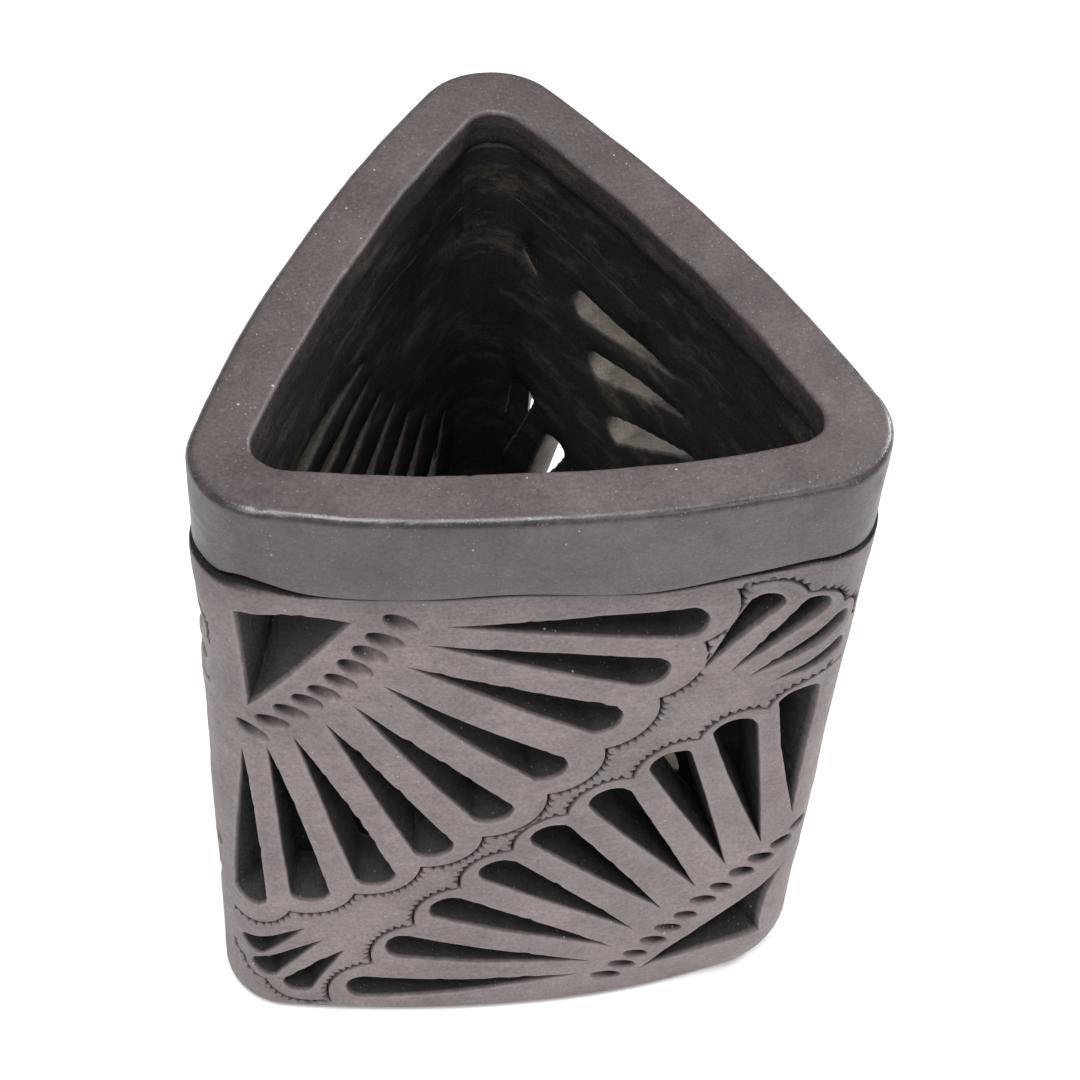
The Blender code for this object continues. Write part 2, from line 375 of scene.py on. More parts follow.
class Sheet:
    """A flat panel under construction: points with depths and shades, and lines that its triangles follow."""

    # Painted shade in recesses; raw cut faces; sooty insides; worn edges with painted highlight (walls) and
    # shade (rim).
    SHADES = ("groove", "cut", "inner", "wear")

    def __init__(self):
        self.points, self.depths, self.lines, self.shades = [], [], [], []
        self.rings, self.sides = [], []
        self.limits = (0.0, 0.0)

    def add(self, points, depths, closed=None, keep=None, **shades):
        """Adds the points to keep, joined in a ring (closed=True), a chain (False), or not at all (None).

        A line doesn't pass over a point that is left out.
        """
        count = len(points)
        keep = np.ones(count, bool) if keep is None else keep
        ids = np.full(count, -1)
        ids[keep] = len(self.points) + np.arange(keep.sum())
        rows = [np.broadcast_to(shades.get(name, 0.0), count)[keep] for name in self.SHADES]
        self.points += [tuple(point) for point in np.asarray(points)[keep]]
        self.depths += list(np.broadcast_to(depths, count)[keep])
        self.shades += list(zip(*rows))
        ids = ids.tolist()
        pairs = list(zip(ids, ids[1:])) if closed is not None else []
        if closed:
            pairs.append((ids[-1], ids[0]))
        self.lines += [pair for pair in pairs if min(pair) >= 0]
        return [index for index in ids if index >= 0]

    def free(self, points, outlines, gap):
        """Which points lie on the panel and outside all the outlines, at least this far from them."""
        left, right = self.limits
        found = (points[:, 0] > left + 0.1) & (points[:, 0] < right - 0.1)
        for outline in outlines:
            apart = lengths(points[:, None] - outline).min(axis=1)
            found &= (apart > gap) & ~inside_outline(points, outline)
        return found

    def fill(self, spots, clear):
        """Adds the spots that lie further than this from every point so far."""
        tree = KDTree(len(self.points))
        for index, (x, y) in enumerate(self.points):
            tree.insert((x, y, 0), index)
        tree.balance()
        self.add(np.array([spot for spot in spots if tree.find((*spot, 0))[2] > clear]), 0.0)

    def triangles(self):
        """Positions, depths, shades, triangles with the rings left open, and new ids of rings and sides."""
        made, _, faces, origins, _, _ = delaunay_2d_cdt(
            [Vector(point) for point in self.points], self.lines, [], 0, 1e-4, True
        )
        made, faces, known = np.array(made), np.array(faces), np.array(self.points)
        new_id, sources = {}, []
        for index, merged in enumerate(origins):
            new_id.update((source, index) for source in merged)
            near = merged or [((known - made[index]) ** 2).sum(axis=1).argmin()]
            sources.append(near[0])
        rings, sides = ([[new_id[i] for i in ids] for ids in chains] for chains in (self.rings, self.sides))
        centres = made[faces].mean(axis=1)
        keep = np.ones(len(faces), bool)
        for ring in rings:
            members = np.zeros(len(made), bool)
            members[ring] = True
            inner = np.flatnonzero(members[faces].all(axis=1))
            keep[inner[inside_outline(centres[inner], made[ring])]] = False
        return made, np.array(self.depths)[sources], np.array(self.shades)[sources], faces[keep], rings, sides


# What is carved in a face.


def within(face, outline):
    """An outline kept clear of both ends of its face."""
    low, high = face_reach(face, -1) + HOLE_MARGIN, face_reach(face, 1) - HOLE_MARGIN
    return np.stack((np.clip(outline[:, 0], low, high), outline[:, 1]), axis=1)


def hole_rim(outline, face):
    """How much has broken away along a hole's edge (less at a sharp point), and where its cut face starts."""
    where = on_wall(face, *outline.T, 0.0)
    count = len(outline)
    steps = np.abs(np.subtract.outer(np.arange(count), np.arange(count)))
    apart = lengths(outline[:, None] - outline)
    apart[np.minimum(steps, count - steps) < 2] = FAR
    free = np.clip(apart.min(axis=1) - 0.3, 0.0, 1.0)
    crumble = free * np.clip(waves(where, 1.7, 2) - 0.15, 0.0, 1.0)
    ragged = free * 0.05 * waves(where, 0.9, 3)
    return crumble, outline + outward_of(outline) * (ragged + 0.1 * crumble)[:, None]


def add_hole_edge(sheet, outline, crumble, rim, others):
    """The broken edge of a pierced hole: rings that follow it, the last of them its rim."""
    rings = (
        (0.8, 0.0, 0.05),
        (0.3 + 0.4 * crumble, 0.04, 0.3),
        (0.1 + 0.32 * crumble, 0.12 + 0.28 * crumble, 1.0),
    )
    # The rings are worn and lightened, partly as a painted highlight.
    for reach, depth, wear in rings:
        ring = outline + outward_of(outline) * np.reshape(reach, (-1, 1))
        sheet.add(ring, depth, True, sheet.free(ring, others, 0.25), wear=wear)
    sheet.rings.append(sheet.add(rim, 0.33 + 0.3 * crumble, True, wear=0.5, cut=0.6))


def add_dimple(sheet, rims, centre, length, width, tilt, deep_end):
    """An oval scooped out with a gouge, deepest towards one end."""
    direction = np.array((math.cos(tilt), math.sin(tilt)))
    scale = rng.uniform(0.9, 1.1)
    depth = DIMPLE_DEPTH * rng.uniform(0.85, 1.15)
    for size, part, count, dark, wear in DIMPLE_RINGS:
        middle = centre + direction * deep_end * (1 - size) * 0.55 * length / 2
        angles = 2 * math.pi * (np.arange(count) + 0.5 * (count % 4)) / count
        wobble = 1 + 0.04 * np.sin(2 * angles + centre[0]) if size > 0.8 else 1.0
        # Painted shade, darkest at the deep end.
        groove = dark * np.clip(0.55 + 0.6 * deep_end * np.cos(angles), 0.0, 1.0)
        ring = (
            middle
            + np.outer(np.cos(angles) * size * scale * length / 2 * wobble, direction)
            + np.outer(np.sin(angles) * size * scale * width / 2 * wobble, left_of(direction))
        )
        sheet.add(ring, depth * part, True, sheet.free(ring, rims, 0.3), groove=groove, wear=wear)
    sheet.add([centre + direction * deep_end * 0.5 * length / 2], depth, None, groove=0.7)


def dimple_rows():
    for curve, count, first, last, deep_end in DIMPLES:
        for index in range(count):
            t = index / (count - 1)
            length, width, tilt = (a + (b - a) * t for a, b in zip(first, last))
            centre = bezier(curve, t) + rng.uniform(-0.25, 0.25, 2)
            yield centre, length, width, math.radians(tilt + rng.uniform(-6, 6)), deep_end


def lobe_of(start, end, away):
    """Centre and radius of the arc that joins two cusps and bows to the side that away points to."""
    length = norm(end - start)
    out = -left_of(end - start) / length
    if out @ away < 0:
        out = -out
    rise = LOBE_RISE * length
    radius = (length**2 / 4 + rise**2) / (2 * rise)
    return (start + end) / 2 + out * (rise - radius), radius


def arc_points(lobe, start, end, parts, offsets):
    """Points on an arc about a lobe's centre, at an offset outside its radius each."""
    centre, radius = lobe
    first = math.atan2(*(start - centre)[::-1])
    turn = (math.atan2(*(end - centre)[::-1]) - first + math.pi) % (2 * math.pi) - math.pi
    angles = first + turn * np.asarray(parts)
    reach = radius + np.broadcast_to(offsets, angles.shape)
    return centre + reach[:, None] * np.stack((np.cos(angles), np.sin(angles)), axis=1)


def meeting(first, second, offset, near):
    """Where the offset arcs of two neighbouring lobes cross, next to their cusp."""
    (a, ra), (b, rb) = first, second
    ra, rb = ra + offset, rb + offset
    distance = norm(b - a)
    along = (distance**2 + ra**2 - rb**2) / (2 * distance)
    foot = a + (b - a) / distance * along
    side = left_of(b - a) / distance * math.sqrt(max(0.0, ra**2 - along**2))
    return min((foot + side, foot - side), key=lambda point: norm(point - near))


class Border:
    """A scored, scalloped line of lobes, with nicks cut into its outer side."""

    def __init__(self, curve, count, fan_middle):
        cusps = [bezier(curve, index / (count - 1)) for index in range(count)]
        cusps[1:-1] = [cusp + rng.uniform(-0.35, 0.35, 2) for cusp in cusps[1:-1]]
        self.lobes = []  # (arc, start, end, how many nicks)
        for start, end in zip(cusps, cusps[1:]):
            nicks = max(3, round(norm(end - start) * 1.12 / NICK_PITCH))
            lobe = lobe_of(start, end, (start + end) / 2 - fan_middle)
            self.lobes.append((lobe, start, end, nicks))

    def clear_of_neighbours(self, index, points, offset):
        """The points of a lobe's row that lie outside both neighbouring lobes' rows."""
        for other in (index - 1, index + 1):
            if 0 <= other < len(self.lobes):
                centre, radius = self.lobes[other][0]
                points = points[lengths(points - centre) > radius + offset + 0.12]
        return points

    def room(self, points, others):
        """How far each point is from the lines of the other borders."""
        gap = np.full(len(points), FAR)
        for (centre, radius), start, end, _ in [lobe for other in others for lobe in other.lobes]:
            beside = lengths(points - (start + end) / 2) < norm(end - start)
            away = lengths(points - centre) - radius
            gap = np.where(beside & (away > -0.5), np.minimum(gap, away), gap)
        return gap

    def row(self, offset, tips=0.0, others=()):
        """One chain along all the lobes. With tips, it zigzags out to the nicks' points."""
        chain = [self.lobes[0][1]]
        for index, (lobe, start, end, nicks) in enumerate(self.lobes):
            parts = np.arange(1, 2 * nicks) / (2 * nicks)
            offsets = np.full(len(parts), offset)
            if tips:
                gap = self.room(arc_points(lobe, start, end, parts[::2], offset), others)
                reach = tips * rng.uniform(0.75, 1.1, len(gap))
                offsets[::2] += np.minimum(reach, np.maximum(0.45 * gap - 0.3, 0.1))
            points = arc_points(lobe, start, end, parts, offsets)
            if offset:
                points = self.clear_of_neighbours(index, points, offset)
            if offset and index + 1 < len(self.lobes):
                end = meeting(lobe, self.lobes[index + 1][0], offset, end)
            chain += [*points, end]
        return np.array(chain)

    def nick_bottoms(self):
        found = []
        for index, (lobe, start, end, nicks) in enumerate(self.lobes):
            points = arc_points(lobe, start, end, (np.arange(nicks) + 0.5) / nicks, NICK_BOTTOM)
            found.append(self.clear_of_neighbours(index, points, NICK_BOTTOM))
        return np.vstack(found)


def fade_at_ends(chain):
    """0 at both ends of a chain, rising to 1."""
    near = np.minimum(lengths(chain - chain[0]), lengths(chain - chain[-1]))
    return np.clip(near / FADE, 0.0, 1.0)


def add_border(sheet, border, others, rims, face):
    edge, bottom = border.row(0.0), border.row(0.24)
    outer = border.row(0.5, NICK_LENGTH - 0.5, others)
    uneven_score = 1 + 0.25 * waves(on_wall(face, *bottom.T, 0.0), 5.0, 5)
    depth = SCORE_DEPTH * uneven_score * fade_at_ends(bottom)
    notches = border.nick_bottoms()
    fade = fade_at_ends(np.vstack((edge[:1], notches, edge[-1:])))[1:-1]
    apart = border.room(outer, others) > 0.3
    # Painted shade along the score and in the nicks; the edge row is worn and lightened, partly as a painted
    # highlight.
    sheet.add(edge, 0.0, False, sheet.free(edge, rims, RIM_GAP), wear=0.5, groove=0.2)
    sheet.add(bottom, depth, False, sheet.free(bottom, rims, RIM_GAP), groove=1.0)
    sheet.add(outer, 0.0, False, sheet.free(outer, rims, RIM_GAP) & apart, groove=0.1)
    sheet.add(notches, 0.6 * fade, None, sheet.free(notches, rims, RIM_GAP), groove=1.0)


def hole_outlines():
    for fan in FANS.values():
        yield from fan_outlines(*fan)
    for triangle in TRIANGLES:
        yield triangle_outlines(*triangle)


def fan_middle(name):
    tips, ends = FANS[name][:2]
    return (bezier(tips, 0.5) + bezier(ends, 0.5)) / 2


def hex_grid(low_x, high_x, low_y, high_y, step):
    spots = []
    for index, y in enumerate(np.arange(low_y, high_y, step * math.sqrt(3) / 2)):
        spots += [(x, y) for x in np.arange(low_x + step / 2 * (index % 2), high_x, step)]
    spots = np.array(spots)
    return spots + rng.uniform(-0.12, 0.12, spots.shape) * step


# The frame of a face's panel.


def column_heights():
    foot = FOOT_ROUND - FOOT_ROUND * np.sin(np.linspace(math.pi / 2, 0, 6))
    middle = np.linspace(FOOT_ROUND, CREASE_ZONE, 74)[1:]
    shoulder = SEAM - (SEAM - CREASE_ZONE) * (1 - np.linspace(0, 1, 8)[1:]) ** 1.6
    return np.concatenate((foot, middle, shoulder))


def rounded(past, radius):
    """How far a rounded edge stands back, this far past the start of its round."""
    return radius - np.sqrt(radius**2 - np.clip(past, 0.0, radius) ** 2)


def lift_to_crease(face, along, up):
    """Stretch the top strip of a panel so that it ends at the wavy crease."""
    part = np.clip((up - CREASE_ZONE) / (SEAM - CREASE_ZONE), 0.0, 1.0)
    top = crease_height(face, along) - SEAM_HALF
    return np.where(up > CREASE_ZONE, CREASE_ZONE + (top - CREASE_ZONE) * part, up)


def shoulder_depth(face, along, up):
    """How far the rounded top edge of a wall stands back at this lifted height."""
    radius = crease_round(face, along)
    return rounded(up - (crease_height(face, along) - SEAM_HALF - radius), radius)


def uneven(where):
    """Hand-made unevenness of the outer skin: how much deeper each point lies."""
    swollen = near_corner(where, 1, 13.0) * (0.7 + 0.25 * bump_at(where[:, 2], 93.0, 7.0))
    swollen += 0.3 * near_corner(where, 0, 12.0) * bump_at(where[:, 2], 95.0, 7.0)
    return layers(where, (0.26, 19.0, 7), (0.1, 6.5, 8), (0.035, 2.2, 9)) - swollen


def worn_foot(where):
    """How much the foot is worn back at the front right corner."""
    return 1.7 * near_corner(where, 1, 17.0) * (1 - smooth_step(where[:, 2], 0.0, 9.0))


def level_row(places, height):
    return np.stack((places, np.full(len(places), height)), axis=1)


def panel_frame(sheet, face):
    """The panel's four sides. It gives the places of the columns and the heights of the rows between them."""
    heights = column_heights()
    left, right = sheet.limits = face_reach(face, -1), face_reach(face, 1)
    inner = np.linspace(left, right, round((right - left) / GRID_STEP) + 1)[1:-1]
    for place in sheet.limits:
        column = np.stack((np.full(len(heights), place), heights), axis=1)
        sheet.sides.append(sheet.add(column, 0.0, False))
    for end in (0, -1):
        ids = sheet.add(level_row(inner, heights[end]), 0.0)
        ids = [sheet.sides[0][end], *ids, sheet.sides[1][end]]
        sheet.lines += list(zip(ids, ids[1:]))
        sheet.sides.append(ids)
    return inner, heights[1:-1]


def outer_sheet(face):
    sheet = Sheet()
    inner, heights = panel_frame(sheet, face)
    for height in heights:
        if height <= FOOT_ROUND + 0.01 or height > CREASE_ZONE:
            sheet.add(level_row(inner, height), 0.0, False)
    outlines, openings = zip(*[[within(face, line) for line in hole] for hole in hole_outlines()])
    crumbles, rims = zip(*[hole_rim(outline, face) for outline in outlines])
    for index, hole in enumerate(zip(outlines, crumbles, rims)):
        add_hole_edge(sheet, *hole, rims[:index] + rims[index + 1 :])
    for dimple in dimple_rows():
        add_dimple(sheet, rims, *dimple)
    borders = [Border(*line, fan_middle(name)) for name, line in BORDERS.items()]
    for border in borders:
        others = [other for other in borders if other is not border]
        add_border(sheet, border, others, rims, face)
    add_grid(sheet, rims, GRID_STEP, FOOT_ROUND)
    return sheet, rims, openings


def add_grid(sheet, outlines, step, low):
    left, right = sheet.limits
    spots = hex_grid(left + step / 2, right - step / 3, low + step / 2, CREASE_ZONE - step / 3, step)
    for outline in outlines:
        spots = spots[~inside_outline(spots, outline)]
    sheet.fill(spots, 0.62 * step)


def inner_sheet(face, outlines):
    sheet = Sheet()
    panel_frame(sheet, face)
    for outline in outlines:
        out = outward_of(outline)
        where = on_wall(face, *outline.T, WALL)
        crumble = np.clip(waves(where, 1.5, 13), 0.0, 1.0)
        torn = 0.16 * waves(where, 0.8, 14) + 0.22 * crumble
        ring = outline + out * np.maximum(torn, -0.1)[:, None]
        sheet.rings.append(sheet.add(ring, 0.22, True, cut=0.5, inner=0.6))
        sheet.add(outline + out * (0.4 + 0.3 * crumble)[:, None], 0.0, True, inner=0.9)
    add_grid(sheet, outlines, INNER_GRID_STEP, 1.0)
    return sheet


# Closed meshes.


class Shell:
    """Vertices, shades and faces gathered for one mesh."""

    def __init__(self):
        self.parts, self.shades, self.faces, self.count = [], [], [], 0

    def add_points(self, points, shades):
        """Adds the points and gives their ids."""
        self.parts.append(np.asarray(points, float).reshape(-1, 3))
        first, added = self.count, len(self.parts[-1])
        self.shades.append(np.broadcast_to(shades, (added, len(Sheet.SHADES))))
        self.count += added
        return list(range(first, first + added))

    def strip(self, first, second, closed=False, flip=False):
        """Quads between two chains of vertex ids."""
        pairs = list(zip(first, second))
        pairs = pairs + pairs[:1] if closed else pairs
        for (a, b), (c, d) in zip(pairs, pairs[1:]):
            self.faces.append((a, b, d, c) if flip else (a, c, d, b))

    def strips(self, chains, closed=False, flip=False):
        """Quads between each chain and the next."""
        for first, second in zip(chains, chains[1:]):
            self.strip(first, second, closed, flip)

    def cap(self, chain, middle):
        """Triangles between a ring and a point in its middle."""
        self.faces += [(a, b, middle) for a, b in zip(chain, chain[1:] + chain[:1])]

    def to_mesh(self, name):
        mesh = bpy.data.meshes.new(name)
        mesh.from_pydata(np.vstack(self.parts) * MM, [], self.faces)
        shades = np.vstack(self.shades)
        for column, shade in enumerate(Sheet.SHADES):
            layer = mesh.attributes.new(shade, "FLOAT", "POINT")
            layer.data.foreach_set("value", shades[:, column].astype(np.float32))
        mesh.validate()
        mesh.update()
        return mesh


def marks(run, size, *place):
    """Noise along a hole's outline, for the marks the knife left."""
    return np.array([noise.noise(Vector((s / size, *place))) for s in run])


def loft_hole(shell, face, outline, opening, outer_ids, inner_ids, number):
    """The cut face of one hole, from its outer ring to its inner ring."""
    out = outward_of(outline)
    run = lengths(np.roll(outline, -1, axis=0) - outline).cumsum()
    chains = [outer_ids]
    for part in CUT_ROWS:
        push = 0.16 * marks(run, 1.3, part * 1.1, number * 3.7)
        push += 0.06 * marks(run, 0.42, part * 2.4, number * 1.9)
        place = outline + (opening - outline) * part + out * (push * min(1.0, 5 * part))[:, None]
        points = on_wall(face, *place.T, CUT_START + (WALL - 0.2 - CUT_START) * part)
        chains.append(shell.add_points(points, (0.0, 1.0, max(0.0, part - 0.75) * 2, 0.0)))
    shell.strips([*chains, inner_ids], closed=True, flip=is_clockwise(outline))


def outer_skin(face, where, along, up, depth, shades):
    """Depths and shades of the outer skin: rounded at the foot and the shoulder, with painted shade in the
    crease.
    """
    total = depth + uneven(where) * smooth_step(up, 0.5, 5.0) + worn_foot(where)
    total += rounded(FOOT_ROUND - up, FOOT_ROUND)
    top, round_off = crease_height(face, along), crease_round(face, along)
    # Painted shade in the crease, over the upper part of the shoulder.
    shaded = smooth_step(up, top - 0.95 * round_off, top - 0.55 * round_off)
    shades[:, 0] = np.maximum(shades[:, 0], shaded)
    return total + SHOULDER_REACH * shoulder_depth(face, along, up), shades


def inner_skin(_face, where, _along, up, depth, shades):
    shades[:, 2] = np.maximum(shades[:, 2], 1.0 - shades[:, 1])
    rough = layers(where, (0.35, 14.0, 10), (0.14, 4.5, 11), (0.05, 1.6, 12))
    return WALL - depth + rough * smooth_step(up, BASE_TOP, 9.0), shades


def add_skin(shell, sheet, face, level, skin, turn):
    """One skin of a wall, its triangles turned round by turn=-1. It gives the ids of its rings and sides."""
    flat, depth, shades, faces, rings, sides = sheet.triangles()
    along, up = flat[:, 0], lift_to_crease(face, *flat.T)
    depth, shades = skin(face, on_wall(face, along, up, level), along, up, depth, shades)
    ids = shell.add_points(on_wall(face, along, up, depth), shades)
    shell.faces += [tuple(ids[i] for i in triangle[::turn]) for triangle in faces]
    return [[[ids[i] for i in chain] for chain in chains] for chains in (rings, sides)]


def wall_mesh(face):
    """One wall as a closed mesh: carved outer skin, cut faces, inner skin and the four narrow sides."""
    shell = Shell()
    sheet, outlines, openings = outer_sheet(face)
    rings, sides = add_skin(shell, sheet, face, 0.0, outer_skin, 1)
    inner_rings, inner_sides = add_skin(shell, inner_sheet(face, openings), face, WALL, inner_skin, -1)
    for number, hole in enumerate(zip(outlines, openings, rings, inner_rings)):
        loft_hole(shell, face, *hole, number + 31 * face)
    for outer, inner, flip in zip(sides, inner_sides, (False, True, True, False)):
        shell.strip(outer, inner, flip=flip)
    return shell.to_mesh(f"wall_{FACE_NAMES[face]}_carved")


# Rings swept round the whole plan.


def stations(step):
    """Places all round the plan, as (face, along), the mitres counted once."""
    places = []
    for face in range(3):
        left, right = face_reach(face, -1), face_reach(face, 1)
        count = round((right - left) / step)
        places += [(face, left + (right - left) * i / count) for i in range(count)]
    return places


def sweep(places, profile, shades):
    """A closed ring: profile(face, along) gives (depth, height) rows, and shades(rows) gives their shades."""
    shell = Shell()
    loops = []
    for face, along in places:
        rows = profile(face, along)
        points = on_wall(face, along, rows[:, 1], rows[:, 0])
        loops.append(shell.add_points(points, shades(rows)))
    shell.strips(loops + loops[:1], closed=True, flip=True)
    return shell


def round_corner(centre, radius, start, end, steps):
    """Points of a quarter turn in a (depth, height) profile, angles in degrees from the depth axis."""
    angles = np.radians(np.linspace(start, end, steps))
    return np.stack((centre[0] + radius * np.cos(angles), centre[1] + radius * np.sin(angles)), axis=1)


def corner_fill(face, along, radius):
    """How far the inner surface stands into the room where a corner is filled in to this radius."""
    sharp = CORNER_RADIUS - WALL
    _, skin, _, half_angle = side_arc(face)
    reach = face_reach(face, 1)
    turn = (reach - skin * half_angle) / CORNER_RADIUS
    away = np.minimum(reach - np.abs(along), 60.0)
    past = away / CORNER_RADIUS
    shift = (radius - sharp) / math.cos(turn)
    tangent = (radius - sharp) * math.tan(turn)
    on_flat = np.clip(tangent - (away - turn * CORNER_RADIUS), 0.0, tangent)
    bend = np.minimum(past, turn)
    on_arc = sharp + shift * np.cos(bend) - np.sqrt(radius**2 - (shift * np.sin(bend)) ** 2)
    return float(np.where(past < turn, on_arc, radius - np.sqrt(radius**2 - on_flat**2)))


def swell(where, size, shift=(0, 0, 0)):
    return noise.noise(Vector(where) / size + Vector(shift))


def band_profile(face, along):
    """The rim band in section, from the crease up the outside, over the top and down the inside."""
    where = on_wall(face, along, HEIGHT, 0.0)
    low = float(crease_height(face, along)) + SEAM_HALF
    lip = 0.35 + 0.8 * float(crease_round(face, along))
    top = HEIGHT + 0.42 * swell(where, 21.0) + 0.1 * swell(where, 5.0)
    outer = 0.22 * swell(where, 16.0, (9, 0, 0)) - BAND_PROUD
    outer += BAND_STANDS_BACK * near_corner(where, 0, 12.0)
    inner = WALL + 0.25 * swell(where, 11.0, (0, 7, 0)) + corner_fill(face, along, BAND_FILLET)
    lip_arc = round_corner((0.0, low + lip), lip, 270, 180, LIP_STEPS)
    lip_arc[:, 0] = outer + SHOULDER_REACH * (lip + lip_arc[:, 0])
    side = [(outer, up) for up in np.linspace(low + lip, top - 1.9, 11)[1:-1]]
    top_arc = round_corner((outer + RIM_ROUND, top - RIM_ROUND), RIM_ROUND, 180, 90, 9)
    crown = np.linspace(outer + RIM_ROUND, inner - RIM_INNER_ROUND, 10)[1:-1]
    across = (crown - outer - RIM_ROUND) / (inner - outer - RIM_ROUND - RIM_INNER_ROUND)
    crest = np.stack((crown, top + 0.06 * np.sin(math.pi * across)), axis=1)
    edge = (inner - RIM_INNER_ROUND, top - RIM_INNER_ROUND)
    in_arc = round_corner(edge, RIM_INNER_ROUND, 90, 0, 6)
    back = min(inner, WALL + corner_fill(face, along, COIL_FILLET)) - 0.15
    strip = [(inner + past, top - down) for past, down in BAND_STRIP] + [(back, top - 5.6)]
    below = [(WALL, up) for up in np.linspace(top - 5.8, low, 5)[1:]]
    under = level_row(np.linspace(WALL, outer + SHOULDER_REACH * lip, 5)[1:-1], low)
    return np.vstack((lip_arc, side, top_arc, crest, in_arc, strip, below, under))


def band_shades(rows):
    """Rubbed along the outer top edge, with a painted dark line of shade there; sooty inside; painted shade
    in the crease.
    """
    depth, height = rows.T
    top, low = height.max(), height.min()
    edge = np.hypot(depth - (depth.min() + 0.25 * RIM_ROUND), height - (top - 0.35 * RIM_ROUND))
    # The worn outer top edge, painted near black as a line of shade under its highlight.
    wear = 1 - smooth_step(edge, 0.25, 1.15)
    inner = smooth_step(depth, WALL - 0.5, WALL - 0.1) * smooth_step(top - height, 0.2, 0.9)
    inner *= 0.82 + 0.18 * smooth_step(top - height, 4.0, 6.0)
    lip = height[LIP_STEPS - 1] - low
    # Painted shade in the crease under the band's lip.
    groove = 1 - smooth_step(height, low + 0.3 * lip, low + 0.85 * lip)
    groove *= smooth_step(WALL - depth, 0.5, 2.0)
    return np.stack((groove, np.zeros(len(rows)), inner, wear), axis=1)


def band_mesh():
    shell = sweep(stations(0.62), band_profile, band_shades)
    points = np.vstack(shell.parts)
    radial = points[:, :2] / lengths(points[:, :2])[:, None]
    dent = layers(points, (0.05, 2.4, 15), (0.1, 7.0, 16))
    above = smooth_step(points[:, 2], SEAM + 1.5, SEAM + 4.0)
    chips = np.clip(waves(points, 1.3, 17) - 0.45, 0, 1) * bump_at(points[:, 2], HEIGHT - 0.3, 0.8)
    points[:, :2] -= radial * (dent * above)[:, None]
    points[:, 2] -= 0.9 * chips * above
    shell.parts = [points]
    return shell.to_mesh("rim_band_burnished")


def coil_profile(face, along):
    """The coil pressed in round the floor: a soft triangle with finger marks."""
    size = FLOOR_COIL + 0.25 * swell(on_wall(face, along, COIL_LOW, WALL), 5.0)
    return np.array((WALL + 0.12, COIL_LOW - 0.15)) + size * np.array(COIL_SECTION)


def floor_coil_mesh():
    return sweep(stations(1.2), coil_profile, lambda rows: INSIDE).to_mesh("floor_coil_pressed")


def corner_places(index, reach, count):
    """Places across a corner, from one face to the next, as (face, along)."""
    for part in np.linspace(-reach, reach, count):
        face, end = ((index - 1) % 3, 1) if part < 0 else (index, -1)
        yield face, face_reach(face, end) + part


def corner_coil_mesh(index, name):
    """Clay drawn down a corner with a finger, so that it fills the corner to a hollow round."""
    shell = Shell()
    places = list(corner_places(index, 15.5, 33))
    fronts, backs = [], []
    for height in np.linspace(CORNER_COIL_LOW - 1.0, HEIGHT - 5.2, 120):
        front, back = [], []
        for face, along in places:
            spot = Vector((*on_wall(face, along, height, WALL)[:2], height))
            smear = 0.22 * noise.noise(Vector((spot.x / 3, spot.y / 3, spot.z / 14)))
            rough = smear + 0.1 * swell(spot, 1.7)
            fill = corner_fill(face, along, COIL_FILLET)
            depth = WALL + fill + rough * min(1.0, fill) - 0.3 * (1 - min(1.0, 4 * fill))
            front.append(on_wall(face, along, height, depth))
            back.append(on_wall(face, along, height, WALL - 0.45))
        fronts.append(shell.add_points(front, INSIDE))
        backs.append(shell.add_points(back, INSIDE))
    shell.strips(fronts, flip=True)
    shell.strips(backs)
    shell.strip(fronts[0], backs[0])
    shell.strip(fronts[-1], backs[-1], flip=True)
    for end, flip in ((0, True), (-1, False)):
        shell.strip([row[end] for row in fronts], [row[end] for row in backs], flip=flip)
    return shell.to_mesh(name)


def base_mesh():
    """The floor slab, slightly dished and uneven on top."""
    shell = Shell()
    edge = [on_wall(face, along, 0.0, WALL + 0.05) for face, along in stations(1.6)]
    rings = []
    for part in (1.0, 0.985, 0.93, 0.84, 0.72, 0.58, 0.42, 0.26, 0.12):
        ring = []
        for x, y, _ in edge:
            spot = (x * part, y * part)
            height = BASE_TOP - 0.25 * (1 - part) + 0.3 * swell((*spot, 3.0), 7.0)
            ring.append((*spot, min(height, BASE_TOP + 0.2) if part < 1 else BASE_TOP - 0.1))
        rings.append(shell.add_points(ring, INSIDE))
    tip = shell.add_points((0.0, 0.0, BASE_TOP - 0.25), INSIDE)[0]
    bottom = shell.add_points(edge, UNDERSIDE)
    shell.strips(rings, closed=True)
    shell.cap(rings[-1], tip)
    shell.strip(bottom, rings[0], closed=True)
    shell.cap(bottom[::-1], shell.add_points((0.0, 0.0, 0.0), UNDERSIDE)[0])
    return shell.to_mesh("base_slab_smoothed")


# Materials.


